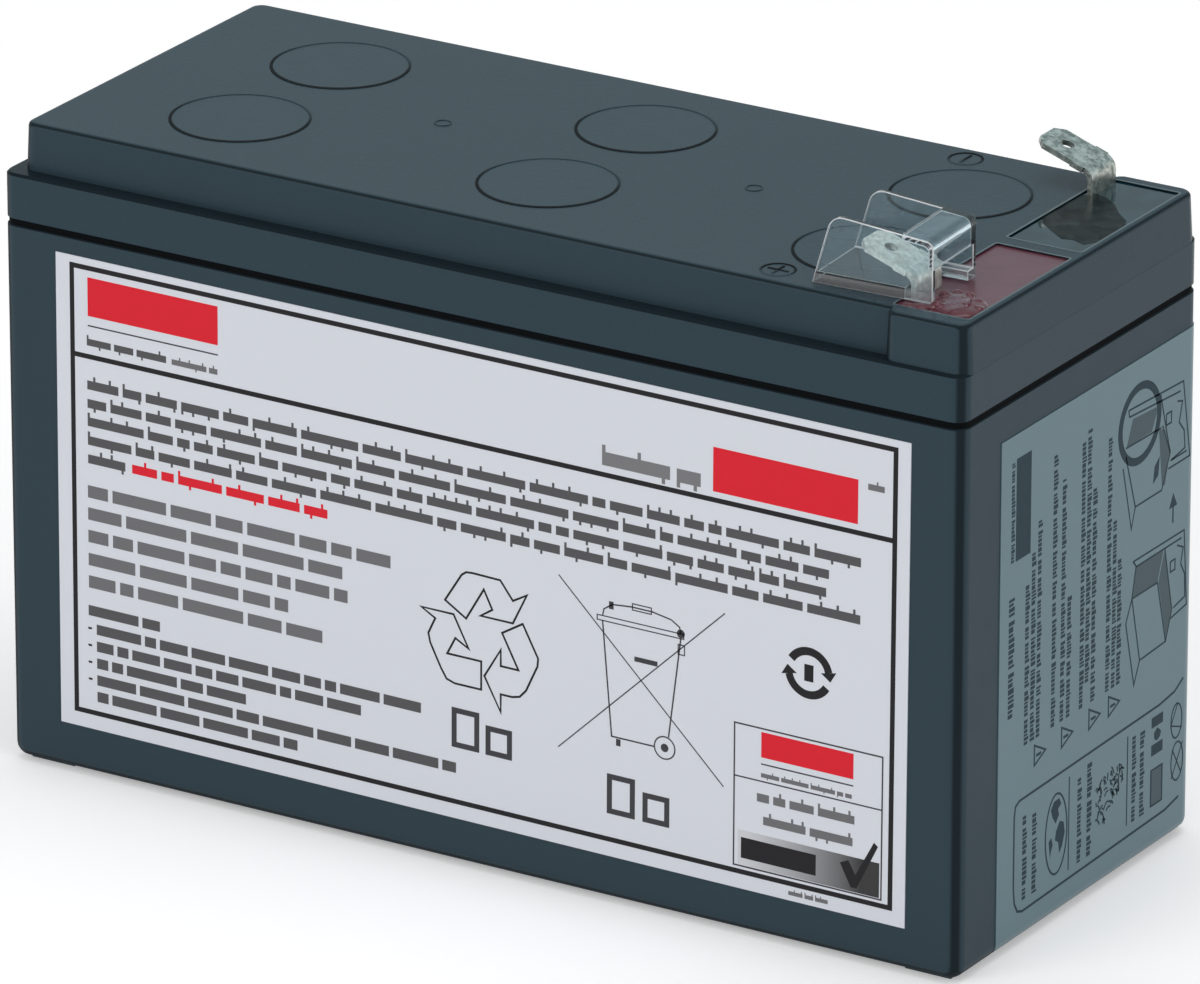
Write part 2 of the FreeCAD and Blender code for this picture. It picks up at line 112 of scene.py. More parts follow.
def moulded_surface():
    """Node group: the uneven tone, sheen and fine grain of a moulded plastic, with painted shade on round
    edges.
    """
    group = bpy.data.node_groups.new("moulded surface", "ShaderNodeTree")
    socket = group.interface.new_socket
    socket("Base", in_out="INPUT", socket_type="NodeSocketColor")
    for name in ("Tone Spread", "Sheen Low", "Sheen High", "Grain", "Edge Shade"):
        socket(name, in_out="INPUT", socket_type="NodeSocketFloat")
    socket("Colour", in_out="OUTPUT", socket_type="NodeSocketColor")
    for name in ("Roughness", "Height"):
        socket(name, in_out="OUTPUT", socket_type="NodeSocketFloat")
    given = group.nodes.new("NodeGroupInput").outputs
    surface = put(group, "ShaderNodeTexCoord").outputs
    place = surface["Object"]
    lean = put(group, "ShaderNodeVectorMath", {"operation": "ABSOLUTE"}, Vector=surface["Normal"])
    lean = put(group, "ShaderNodeSeparateXYZ", Vector=lean.outputs["Vector"]).outputs
    squareness = maths(group, "MAXIMUM", maths(group, "MAXIMUM", lean["X"], lean["Y"]), lean["Z"])
    # Painted shade: faces turned away from the three main directions, on round edges, take a darker colour.
    edge = put(group, "ShaderNodeMapRange", {"interpolation_type": "SMOOTHSTEP"}, Value=squareness,
               From_Min=0.95, From_Max=0.82, To_Min=0, To_Max=1).outputs["Result"]
    cloud = noise(group, place, 45, 4)
    patch = noise(group, place, 260, 3)
    grain = noise(group, place, 3600, 2)
    spread = given["Tone Spread"]
    tone = maths(group, "MULTIPLY_ADD", spread, -0.5, maths(group, "MULTIPLY_ADD", cloud, spread, 1.0))
    shade = maths(group, "MULTIPLY", edge, given["Edge Shade"])
    brightness = maths(group, "MULTIPLY", tone, maths(group, "SUBTRACT", 1, shade))
    colour = put(group, "ShaderNodeVectorMath", {"operation": "SCALE"}, Vector=given["Base"],
                 Scale=brightness)
    sheen = put(group, "ShaderNodeMapRange", Value=patch, From_Min=0.3, From_Max=0.7,
                To_Min=given["Sheen Low"], To_Max=given["Sheen High"]).outputs["Result"]
    out = group.nodes.new("NodeGroupOutput").inputs
    group.links.new(colour.outputs["Vector"], out["Colour"])
    group.links.new(maths(group, "MULTIPLY_ADD", shade, edge_dulling, sheen), out["Roughness"])
    group.links.new(maths(group, "MULTIPLY", grain, given["Grain"]), out["Height"])
    return group


moulded = moulded_surface()


def moulded_plastic(name, colour, sheen_low, sheen_high, grain, painted_edge_shade=0.7, tone_spread=0.06):
    """A moulded plastic, from the shared surface with its own colour, sheen and grain."""
    material, tree, shader = new_material(name, Specular_IOR_Level=0.1, Specular_Tint=(0.75, 0.98, 1, 1))
    surface = put(tree, "ShaderNodeGroup", {"node_tree": moulded}, Base=colour, Tone_Spread=tone_spread,
                  Sheen_Low=sheen_low, Sheen_High=sheen_high, Grain=grain, Edge_Shade=painted_edge_shade).outputs
    tree.links.new(surface["Colour"], shader.inputs["Base Color"])
    tree.links.new(surface["Roughness"], shader.inputs["Roughness"])
    relief = put(tree, "ShaderNodeBump", Strength=0.25, Distance=grain_depth, Height=surface["Height"])
    tree.links.new(relief.outputs["Normal"], shader.inputs["Normal"])
    return material


finish_node("container", moulded_plastic("container plastic", container_colour, 0.36, 0.42, 1.0))


# Cover: the lid with its ledge, six vent recesses and two terminal wells. It is moulded of the same
# ABS as the container, a little glossier, and its low ledge is painted darker as painted shade. Its
# tongue is glued into the container's rim.
cover_colour = (0.034, 0.057, 0.073, 1)
painted_ledge_shade = (0.004, 0.008, 0.011, 1)
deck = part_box("cover")[1].z
ledge_limit = deck - 5 * mm


def mixed(tree, factor, first, second):
    """A mix of two colours by the factor."""
    mix = put(tree, "ShaderNodeMix", {"data_type": "RGBA"})
    for number, value in ((0, factor), (6, first), (7, second)):
        feed(tree, mix.inputs[number], value)
    return mix.outputs[2]


cover_plastic = moulded_plastic("cover plastic", cover_colour, 0.24, 0.29, 0.6)
tree = cover_plastic.node_tree
base = tree.nodes["Principled BSDF"].inputs["Base Color"]
# Painted shade on the ledge: faces that look up and lie more than 5 mm below the deck take a near-black
# colour.
surface = put(tree, "ShaderNodeTexCoord").outputs
level = put(tree, "ShaderNodeSeparateXYZ", Vector=surface["Object"]).outputs["Z"]
facing_up = put(tree, "ShaderNodeSeparateXYZ", Vector=surface["Normal"]).outputs["Z"]
low = put(tree, "ShaderNodeMapRange", Value=level, From_Min=ledge_limit, From_Max=ledge_limit - mm,
          To_Min=0, To_Max=0.8).outputs["Result"]
ledge = put(tree, "ShaderNodeMapRange", Value=facing_up, From_Min=0.5, From_Max=0.8,
            To_Min=0, To_Max=low).outputs["Result"]
tree.links.new(mixed(tree, ledge, base.links[0].from_socket, painted_ledge_shade), base)
finish_node("cover", cover_plastic)


# Pole signs and gate marks: a ringed plus and a ringed minus beside the tabs and two small ring marks
# on the midline. They are fine ridges of the cover's own plastic, raised in the moulding, and the
# signs are painted dark on one side as painted shade.
sign_radius = 2.3 * mm
sign_line = 0.42 * mm
sign_height = 0.09 * mm
plus_sign = Vector((43.4 * mm, -25.2 * mm, deck))
minus_sign = Vector((42.9 * mm, 24.8 * mm, deck))
gate_mark_radius = 1.15 * mm
gate_mark_line = 0.2 * mm
gate_mark_height = 0.1 * mm
gate_marks = (Vector((-24.6 * mm, 0, deck)), Vector((24.6 * mm, 0, deck)))
ridge_taper = 0.05 * mm


def ridge_ring(mesh, centre, radius, line, height, steps=48):
    """A round ridge with sloping sides, spun about its upright axis."""
    half = line / 2
    section = [mesh.verts.new((radius + across, 0, up)) for across, up in (
        (-half, -height * 0.3), (-half * 0.6, height), (half * 0.6, height), (half, -height * 0.3))]
    edges = [mesh.edges.new((section[i], section[(i + 1) % 4])) for i in range(4)]
    bmesh.ops.spin(mesh, geom=section + edges, cent=(0, 0, 0), axis=(0, 0, 1), dvec=(0, 0, 0),
                   angle=math.tau, steps=steps, use_merge=True, use_duplicate=False)
    bmesh.ops.translate(mesh, verts=[vert for vert in mesh.verts if not vert.tag], vec=centre)
    for vert in mesh.verts:
        vert.tag = True


def ridge_bar(mesh, centre, length_x, length_y, height):
    """A straight ridge with a narrower top."""
    middle = centre + Vector((0, 0, height * 0.35))
    made = bmesh.ops.create_cube(mesh, size=1, matrix=Matrix.Translation(middle)
                                 @ Matrix.Diagonal((length_x, length_y, height * 1.3, 1)))["verts"]
    top = [vert for vert in made if vert.co.z > centre.z]
    for axis in (0, 1):
        for side in (-1, 1):
            inwards = Vector((0, 0, 0))
            inwards[axis] = -side * ridge_taper
            bmesh.ops.translate(mesh, vec=inwards, verts=[
                vert for vert in top if (vert.co[axis] - centre[axis]) * side > 0])
    for vert in made:
        vert.tag = True


def finish_piece(mesh, name, material, smooth=False):
    """Makes an object of the shaped mesh, which then moves with the block."""
    bmesh.ops.recalc_face_normals(mesh, faces=mesh.faces[:])
    for face in mesh.faces:
        face.smooth = smooth
    data = bpy.data.meshes.new(name)
    mesh.to_mesh(data)
    mesh.free()
    data.materials.append(material)
    piece = bpy.data.objects.new(name, data)
    bpy.context.scene.collection.objects.link(piece)
    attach(piece, "root")
    return piece


def mark_painted_shade(mesh, centre, towards, radius):
    """Marks how much painted shade each point takes: fully on the side named, and none on the far side."""
    shade_amount = mesh.verts.layers.float.new("shade_amount")
    for vert in mesh.verts:
        vert[shade_amount] = 0.5 + 0.5 * (vert.co - centre).xy.dot(Vector(towards)) / radius


def blend(tree, factor, low, low_colour, high, high_colour):
    """A colour that turns from one into the other while the factor rises from low to high."""
    ramp = put(tree, "ShaderNodeValToRGB", Fac=factor)
    for stop, place, colour in zip(ramp.color_ramp.elements, (low, high), (low_colour, high_colour)):
        stop.position = place
        stop.color = colour
    return ramp.outputs["Color"]


# Painted shade: a ramp from a light end, lifted to the deck's look with its sheen as a painted reflection, to
# near black.
painted_shade_plastic, tree, shader = new_material("painted shade plastic", Roughness=0.5, Specular_IOR_Level=0.05)
shade_amount = put(tree, "ShaderNodeAttribute", {"attribute_name": "shade_amount"}).outputs["Fac"]
painted_shade_colour = blend(tree, shade_amount, 0.12, (0.05, 0.08, 0.095, 1), 0.5, (0.003, 0.005, 0.006, 1))
tree.links.new(painted_shade_colour, shader.inputs["Base Color"])

for name, centre, bars in (
        ("plus_sign", plus_sign, ((3.2, 0.4), (0.4, 3.2))),
        ("minus_sign", minus_sign, ((0.4, 3.2),))):
    ridges = bmesh.new()
    ridge_ring(ridges, centre, sign_radius, sign_line, sign_height)
    for long_x, long_y in bars:
        ridge_bar(ridges, centre, long_x * mm, long_y * mm, sign_height)
    mark_painted_shade(ridges, centre, (-0.3, 0.95), sign_radius)
    finish_piece(ridges, name, painted_shade_plastic)
for number, centre in enumerate(gate_marks, 1):
    ridges = bmesh.new()
    ridge_ring(ridges, centre, gate_mark_radius, gate_mark_line, gate_mark_height, 32)
    finish_piece(ridges, "gate_mark_%d" % number, cover_plastic)


# Vent discs: six thin round plates that close the valve recesses. They are moulded of ABS and
# welded down at a few points, which leaves a hairline gap round each.
vent_plastic = moulded_plastic("vent disc plastic", (0.035, 0.060, 0.077, 1), 0.25, 0.31, 0.6)
for number in range(1, 7):
    finish_node("vent_disc_%d" % number, vent_plastic)


# Gap shade: a dark ring laid in the gap round each vent disc as painted shade of that gap. It is a
# little wider and darker towards the front, and lies flush with the deck.
gap_shade_inside = 9.36 * mm
gap_shade_outside = 9.74 * mm
gap_shade_shift = Vector((0.08 * mm, -0.19 * mm, 0))
gap_shade_proud = 0.015 * mm
gap_shade_depth = 0.06 * mm
for number in range(1, 7):
    low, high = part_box("vent_disc_%d" % number)
    centre = Vector(((low.x + high.x) / 2, (low.y + high.y) / 2, deck))
    gap_shade_ring = bmesh.new()
    for radius, middle in ((gap_shade_inside, centre), (gap_shade_outside, centre + gap_shade_shift)):
        bmesh.ops.create_circle(gap_shade_ring, segments=64, radius=radius,
                                matrix=Matrix.Translation(middle + Vector((0, 0, gap_shade_proud))))
    bmesh.ops.bridge_loops(gap_shade_ring, edges=gap_shade_ring.edges[:])
    bmesh.ops.solidify(gap_shade_ring, geom=gap_shade_ring.faces[:], thickness=gap_shade_depth)
    # The front of each ring takes the most painted shade.
    mark_painted_shade(gap_shade_ring, centre, (0.25, -0.97), gap_shade_outside)
    finish_piece(gap_shade_ring, "gap_shade_line_%d" % number, painted_shade_plastic)


# Joint resin: black epoxy in the groove between container and cover. It is poured into the
# container's rim, the cover's tongue is pressed down into it, and a bead of it stands in the gap.
joint_epoxy = plain_material("joint epoxy", Base_Color=(0.004, 0.005, 0.006, 1), Roughness=0.7,
                             Specular_IOR_Level=0.03)
finish_node("joint_resin", joint_epoxy)
bead_inset = 0.22 * mm
bead_height = 0.84 * mm
bead_drop = 0.175 * mm
bead_thickness = 0.3 * mm
bead_corner = 2.0 * mm
bead_rear_corner = 2.85 * mm
case_low, case_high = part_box("container")
skirt_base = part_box("cover")[0].z
bead_size = (case_high.x - case_low.x - 2 * bead_inset, case_high.y - case_low.y - 2 * bead_inset,
             bead_height)
bead = bmesh.new()
bmesh.ops.create_cube(bead, size=1, matrix=Matrix.Translation((0, 0, skirt_base - bead_drop))
                      @ Matrix.Diagonal((*bead_size, 1)))
bmesh.ops.delete(bead, geom=[face for face in bead.faces if abs(face.normal.z) > 0.5], context="FACES_ONLY")
upright = [edge for edge in bead.edges if abs(edge.verts[0].co.z - edge.verts[1].co.z) > bead_height / 2]
rear = [edge for edge in upright if edge.verts[0].co.x > 0 and edge.verts[0].co.y > 0]
others = [edge for edge in upright if edge not in rear]
for edges, corner in ((others, bead_corner), (rear, bead_rear_corner)):
    bmesh.ops.bevel(bead, geom=edges, affect="EDGES", offset=corner, segments=5, profile=0.5, material=-1)
bmesh.ops.recalc_face_normals(bead, faces=bead.faces[:])
bmesh.ops.solidify(bead, geom=bead.faces[:], thickness=bead_thickness)
finish_piece(bead, "joint_bead", joint_epoxy)


# Front label: a white satin film with square corners, glued to the long side a third of a degree off
# level. Its print is a black frame, fields of red and grey, rows of blocks for words, and plain signs.
label_film = plain_material("label film", Base_Color=(0.752, 0.779, 0.839, 1), Roughness=0.38)
label_turn = math.radians(0.29)
label_middle = Vector((0.25, 0, 41.69)) * mm
label_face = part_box("front_label")[0].y
ink_height = 0.02 * mm
label_sheet = (-66.75, 67.7, 7.1, 76.1)
label_frame = (-64.5, 65.8, 9.2, 75.1)
label_frame_line = 0.72
header_rule = 61.9
maker_field = (-61.6, -40.5, 67.8, 73.4)
product_field = (37.6, 59.8, 63.1, 69.4)
element_fields = ((-2.8, 0.8, 17.9, 22.9), (2.6, 6.0, 17.9, 21.4), (21.8, 25.4, 13.7, 18.7),
                  (27.4, 30.8, 13.7, 17.2))
black_rows = [
    (-61.8, 61.8, 57.1, 1.95), (-61.8, 55.5, 54.4, 1.95), (-61.8, 55.1, 51.75, 1.95),
    (-61.8, 62.4, 49.0, 1.95), (-61.8, -55.5, 46.3, 1.95), (-61.8, -48.9, 63.5, 1.5),
    (-62.0, -50.3, 23.9, 1.75), (-60.7, -8.1, 21.25, 1.75), (-60.7, -15.5, 18.75, 1.75),
    (-60.7, -36.0, 16.25, 1.75), (-60.7, -2.5, 13.75, 1.75), (-60.7, -28.0, 11.3, 1.75),
]
dark_rows = [
    (-61.9, -10.8, 41.25, 2.1), (-61.9, -20.4, 38.0, 2.1), (-61.9, -18.9, 34.7, 2.1),
    (-61.9, -29.4, 31.3, 2.1), (-61.9, -23.9, 28.0, 2.1), (-48.0, -40.6, 63.5, 1.2), (49.8, 55.9, 7.9, 0.85),
    (61.3, 63.8, 68.3, 1.3), (45.4, 59.4, 23.9, 0.9), (44.8, 60.6, 20.3, 1.8), (45.8, 59.6, 17.1, 1.8),
]
dashes = [(-62.1, -61.5, base + 0.6, base + 0.9) for base in (21.25, 18.75, 16.25, 13.75)]
arrow_loop = (
    ((-4.25, 38.6), (-1.6, 42.8), (-0.9, 43.3), (0.1, 43.4), (4.5, 43.3), (6.5, 40.75), (8.7, 42.0),
     (6.5, 37.5), (1.4, 37.5), (3.25, 38.75), (1.9, 41.4), (-0.9, 36.6)),
    ((8.06, 37.75), (10.5, 33.25), (10.4, 32.1), (8.6, 28.2), (7.6, 27.1), (6.4, 26.8), (4.6, 26.8),
     (4.6, 24.2), (2.0, 28.9), (4.6, 33.25), (4.6, 30.9), (7.4, 30.9), (4.8, 35.75)),
    ((-2.7, 26.8), (1.5, 26.8), (1.5, 30.9), (-3.9, 30.9), (-2.6, 33.4), (-0.5, 32.3), (-2.9, 36.8),
     (-8.0, 36.8), (-5.8, 35.6), (-6.9, 33.25), (-6.6, 31.9), (-4.9, 28.6), (-4.0, 27.2)),
)
bin_cross = (((13.7, 46.1), (39.6, 21.2)), ((39.6, 46.1), (13.7, 21.2)))
bin_lid = ((20.6, 41.7), (20.8, 42.7), (22.1, 43.6), (25.0, 43.9), (28.3, 43.9), (31.3, 43.4), (32.6, 42.6),
           (32.8, 41.7))
bin_outlines = ((25.25, 28.2, 43.5, 44.4), (19.75, 33.25, 41.0, 41.7), (32.4, 33.4, 38.7, 40.1))
bin_body = ((20.6, 41.0), (22.1, 24.6), (28.7, 24.6)), ((32.8, 41.0), (31.0, 26.4))
bin_wheel = (30.4, 24.75)
bin_hinge = (32.8, 41.7)
bin_marks = ((21.6, 22.3, 42.9, 44.0), (22.8, 23.5, 23.4, 24.4), (25.6, 29.2, 36.2, 36.9))
round_arrows = (52.6, 40.4)
arrow_radius = 3.1
arrow_line = 1.15
arrow_gap = 12
arrow_sweep = 138
arrow_head = ((1.9, 0), (3.1, 1.3), (4.3, 0))
arrow_number = (51.9, 53.3, 39.2, 41.6)
seal_box = (41.25, 64.06, 10.4, 30.9)
seal_field = (45.4, 59.6, 26.75, 30.4)
label_rules = ((*seal_box[:2], 23.3), (*maker_field[:2], 66.4), (*seal_field[:2], 25.8))
address_row = (-54.6, -23.0, 46.3, 1.95)
grey_row = (20.4, 35.7, 63.25, 2.9)
seal_band = (41.9, 63.75, 10.6, 15.6)
seal_word = (42.4, 54.0, 11.6, 14.6)
seal_tick = ((57.7, 14.4), (59.0, 15.0), (60.1, 13.1), (62.9, 18.4), (63.5, 17.9), (60.3, 11.2), (59.4, 11.2))


def ink_patch(ink, corners):
    """One flat patch of ink, by its corners in the print's own plane, in millimetres."""
    ink.faces.new([ink.verts.new((across * mm, 0, up * mm)) for across, up in corners])


def ink_field(ink, left, right, base, top):
    ink_patch(ink, ((left, base), (right, base), (right, top), (left, top)))


def ink_line(ink, points, width, closed=False):
    """A line of even width through the points, with mitred corners."""
    count = len(points)
    sides = []
    for number, point in enumerate(points):
        here = Vector(point)
        before = Vector(points[number - 1]) if closed or number else None
        after = Vector(points[(number + 1) % count]) if closed or number < count - 1 else None
        run_in = (here - before if before else after - here).normalized()
        run_out = (after - here if after else here - before).normalized()
        cross = Vector((-run_in.y - run_out.y, run_in.x + run_out.x)).normalized()
        reach = width / 2 / max(0.35, cross.dot(Vector((-run_in.y, run_in.x))))
        sides.append([ink.verts.new(((here + cross * side).x * mm, 0, (here + cross * side).y * mm))
                      for side in (reach, -reach)])
    for number in range(count if closed else count - 1):
        first, second = sides[number], sides[(number + 1) % count]
        ink.faces.new((first[0], first[1], second[1], second[0]))


def ink_outline(ink, left, right, base, top, width):
    """The outline of a box, with its line centred on the edges."""
    ink_line(ink, ((left, base), (right, base), (right, top), (left, top)), width, closed=True)


def ink_arc(ink, centre, radius, width, start=0, sweep=360, steps=40, squeeze=1.0):
    """A round or oval line, or a part of one."""
    closed = sweep >= 360
    angles = [math.radians(start + sweep * step / steps) for step in range(steps + (0 if closed else 1))]
    points = [(centre[0] + radius * squeeze * math.cos(a), centre[1] + radius * math.sin(a)) for a in angles]
    ink_line(ink, points, width, closed)


def ink_dot(ink, centre, radius, steps=20):
    ink_patch(ink, [(centre[0] + radius * math.cos(a), centre[1] + radius * math.sin(a))
                    for a in [math.tau * step / steps for step in range(steps)]])


def ink_words(ink, left, right, base, height, chance, capitals=False):
    """A row of words, each as one plain bar, with a few short ticks above or below the lower-case ones."""
    body = height * (0.86 if capitals else 0.66)
    at = left
    while at < right - height:
        end = min(right, at + height * 0.52 * chance.randint(2, 9))
        ink_field(ink, at, end, base, base + body)
        tick = at + height * chance.choice((0, 0.5, 1.0))
        while not capitals and tick + 0.2 * height < end:
            if chance.random() < 0.75:
                ink_field(ink, tick, tick + 0.18 * height, base + body, base + height)
            else:
                ink_field(ink, tick, tick + 0.18 * height, base - 0.26 * height, base)
            tick += height * chance.choice((0.9, 1.3, 1.9))
        at = end + height * 0.36


def thicken(mesh, way):
    """Gives flat faces a thickness: a copy of them is moved that way and joined to them by walls."""
    moved = bmesh.ops.extrude_face_region(mesh, geom=mesh.faces[:], use_keep_orig=True)["geom"]
    bmesh.ops.translate(mesh, verts=[part for part in moved if isinstance(part, bmesh.types.BMVert)], vec=way)


def finish_print(ink, name, material, face, turn, middle=Vector((0, 0, 0))):
    """Thickens the ink, and lays it on a face that lies back from -Y, sunk into it by half its height."""
    thicken(ink, (0, -1.5 * ink_height, 0))
    bmesh.ops.translate(ink, verts=ink.verts[:], vec=(0, face + 0.5 * ink_height, 0))
    bmesh.ops.rotate(ink, verts=ink.verts[:], cent=middle, matrix=turn)
    finish_piece(ink, name, material)


on_label = (label_face, Matrix.Rotation(label_turn, 3, "Y"), label_middle)
black_ink = plain_material("black ink", Base_Color=(0.011, 0.010, 0.012, 1), Roughness=0.4,
                           Specular_IOR_Level=0.2)
word_ink = plain_material("word ink", Base_Color=(0.095, 0.094, 0.1, 1), Roughness=0.4,
                          Specular_IOR_Level=0.2)
thin_ink = plain_material("thin word ink", Base_Color=(0.17, 0.17, 0.18, 1), Roughness=0.4,
                          Specular_IOR_Level=0.2)
dark_ink = plain_material("dark grey ink", Base_Color=(0.05, 0.05, 0.057, 1), Roughness=0.4,
                          Specular_IOR_Level=0.2)
grey_ink = plain_material("grey ink", Base_Color=(0.18, 0.18, 0.19, 1), Roughness=0.35)
red_ink = plain_material("red ink", Base_Color=(0.78, 0.018, 0.034, 1), Roughness=0.35,
                         Specular_IOR_Level=0.15)

left, right, base, top = label_sheet
label_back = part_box("front_label")[1].y
sheet = bmesh.new()
bmesh.ops.create_cube(sheet, size=1, matrix=Matrix.Translation(
    ((left + right) / 2 * mm, (label_face + label_back) / 2, (base + top) / 2 * mm)) @ Matrix.Diagonal(
    ((right - left) * mm, label_back - label_face, (top - base) * mm, 1)))
bmesh.ops.rotate(sheet, verts=sheet.verts[:], cent=label_middle, matrix=on_label[1])
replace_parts(finish_piece(sheet, "label_sheet", label_film), "front_label")

chance = random.Random(4)
ink = bmesh.new()
left, right, base, top = label_frame
half = label_frame_line / 2
ink_outline(ink, left + half, right - half, base + half, top - half, label_frame_line)
ink_field(ink, left + label_frame_line, right - label_frame_line, header_rule - half, header_rule + half)
for dash in dashes:
    ink_field(ink, *dash)
for outline in arrow_loop:
    ink_line(ink, outline, 0.3, closed=True)
arrow_x, arrow_y = round_arrows
for side in (0, 180):
    ink_arc(ink, round_arrows, arrow_radius, arrow_line, start=side + arrow_gap, sweep=arrow_sweep, steps=16)
    tip = math.radians(side + arrow_gap)
    across, up = math.cos(tip), math.sin(tip)
    ink_patch(ink, [(arrow_x + across * reach + up * drop, arrow_y + up * reach - across * drop)
                    for reach, drop in arrow_head])
ink_field(ink, *arrow_number)
finish_print(ink, "label_black_print", black_ink, *on_label)

ink = bmesh.new()
for row in black_rows:
    ink_words(ink, *row, chance, capitals=row[2] < 25)
finish_print(ink, "label_words", word_ink, *on_label)

ink = bmesh.new()
for row in dark_rows:
    ink_words(ink, *row, chance, capitals=row[2] > 24 and row[3] > 2)
finish_print(ink, "label_thin_words", thin_ink, *on_label)

ink = bmesh.new()
for line in bin_cross:
    ink_line(ink, line, 0.17)
ink_line(ink, bin_lid, 0.2)
for outline in bin_outlines:
    ink_outline(ink, *outline, 0.16)
for line in bin_body:
    ink_line(ink, line, 0.22)
for outline in element_fields:
    ink_outline(ink, *outline, 0.8)
ink_arc(ink, bin_wheel, 1.6, 0.2)
ink_dot(ink, bin_wheel, 0.6)
ink_dot(ink, bin_hinge, 0.62)
for mark in bin_marks:
    ink_field(ink, *mark)
ink_outline(ink, *seal_box, 0.22)
for left, right, up in label_rules:
    ink_line(ink, ((left, up), (right, up)), 0.2)
finish_print(ink, "label_dark_print", dark_ink, *on_label)

ink = bmesh.new()
ink_field(ink, *maker_field)
ink_field(ink, *product_field)
ink_field(ink, *seal_field)
ink_words(ink, *address_row, chance)
finish_print(ink, "label_red_print", red_ink, *on_label)

ink = bmesh.new()
ink_words(ink, *grey_row, chance)
finish_print(ink, "label_grey_print", grey_ink, *on_label)


def own_place(tree):
    """The piece's own coordinates."""
    return put(tree, "ShaderNodeTexCoord").outputs["Object"]


band_ink, tree, shader = new_material("shaded band ink", Roughness=0.35)
along = put(tree, "ShaderNodeSeparateXYZ", Vector=own_place(tree)).outputs["X"]
shade = put(tree, "ShaderNodeMapRange", Value=along, From_Min=(seal_band[0] + 1) * mm,
            From_Max=(seal_band[1] - 3) * mm, To_Min=0, To_Max=1).outputs["Result"]
shade = blend(tree, shade, 0, (0.66, 0.67, 0.7, 1), 1, (0.012, 0.012, 0.013, 1))
tree.links.new(shade, shader.inputs["Base Color"])
ink = bmesh.new()
ink_field(ink, *seal_band)
finish_print(ink, "label_band_print", band_ink, *on_label)
ink = bmesh.new()
ink_field(ink, *seal_word)
ink_patch(ink, seal_tick)
finish_print(ink, "label_seal_print", black_ink, label_face - 0.5 * ink_height, *on_label[1:])


# End film: a thin grey-blue film that covers the terminal end and turns round the rear corner.
# It is printed in a darker slate with rows of blocks, outlines of boxes and plain signs.
film_surface = plain_material("end film", Base_Color=(0.128, 0.216, 0.248, 1), Roughness=0.3,
                              Specular_IOR_Level=0.3)
finish_node("end_film", film_surface)
slate_ink = plain_material("slate ink", Base_Color=(0.018, 0.042, 0.058, 1), Roughness=0.4,
                           Specular_IOR_Level=0.08)
shade_ink = plain_material("slate shading", Base_Color=(0.045, 0.082, 0.098, 1), Roughness=0.4,
                           Specular_IOR_Level=0.2)
film_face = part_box("end_film")[1].x
film_columns = (
    (-19.0, 56.0, 70.2, 0.8), (-19.4, 33.9, 51.0, 1.3), (-15.0, 28.7, 52.5, 1.0), (-13.4, 28.7, 55.7, 1.0),
    (-11.8, 28.7, 60.3, 1.0), (-7.8, 28.7, 68.5, 1.0), (-5.4, 28.7, 63.3, 1.0), (-3.7, 28.7, 47.0, 1.0),
    (-0.2, 28.7, 67.3, 1.0), (1.3, 32.0, 68.3, 1.0), (2.9, 28.7, 60.0, 1.0), (6.9, 28.7, 65.8, 1.0),
    (8.5, 28.7, 53.0, 1.0), (9.9, 28.7, 47.0, 1.0), (-15.0, 6.4, 19.0, 1.0), (-12.4, 6.4, 17.9, 1.1),
    (-0.2, 6.4, 18.9, 1.0), (2.4, 6.4, 19.9, 1.1), (14.7, 7.0, 19.5, 1.0), (16.9, 7.0, 19.9, 1.1),
)
film_triangles = (-10.6, -3.3, 4.1, 9.4)
film_frame = ((27.8, 6.2), (24.0, 5.5), (-14.9, 4.8), (-16.2, 5.2), (-17.0, 6.6), (-17.3, 9.0), (-17.3, 19.0),
              (-17.0, 20.6), (-15.9, 21.1), (22.0, 21.6), (26.2, 22.1), (28.6, 23.3))
film_rules = ((-2.5, 6.3, 19.8), (13.4, 7.0, 20.0))
film_lens = (15.3, 64.6)
upper_box = (
    ((10.9, 59.5), (13.4, 50.0), (14.4, 52.9), (11.6, 61.0)),
    ((14.4, 52.9), (21.6, 52.9), (23.8, 57.6), (21.6, 62.2)), ((11.6, 62.2), (21.2, 62.0)),
    ((12.2, 67.4), (27.2, 66.8), (29.3, 55.4), (23.4, 55.4)), ((12.4, 66.4), (26.4, 65.6)),
    ((22.6, 63.5), (24.0, 63.5), (24.0, 61.9), (22.6, 61.9), (22.6, 63.5)),
    ((25.6, 64.4), (27.0, 64.0), (26.2, 61.2), (27.6, 59.6), (27.9, 57.0), (24.2, 56.4)),
    ((12.2, 67.4), (12.4, 66.4)), ((20.9, 66.9), (23.8, 57.6)), ((28.4, 56.4), (24.0, 56.4)),
)
lower_box = (
    ((14.1, 45.1), (28.1, 45.0), (29.1, 33.9), (24.7, 33.3)), ((15.0, 44.1), (27.4, 44.1)),
    ((14.1, 45.1), (15.0, 44.1)), ((13.9, 39.8), (12.3, 36.7), (14.8, 27.0), (16.3, 30.1), (13.9, 39.8)),
    ((13.9, 39.8), (20.9, 39.8), (23.4, 30.4), (16.3, 30.1)), ((14.9, 44.2), (13.9, 39.8)),
    ((22.8, 44.1), (25.0, 34.5), (23.4, 30.4)),
    ((24.4, 41.6), (25.7, 41.6), (25.7, 40.1), (24.4, 40.1), (24.4, 41.6)),
    ((26.2, 43.4), (27.9, 42.6), (27.3, 40.4), (28.4, 38.6), (28.6, 35.2), (25.4, 34.6)),
)
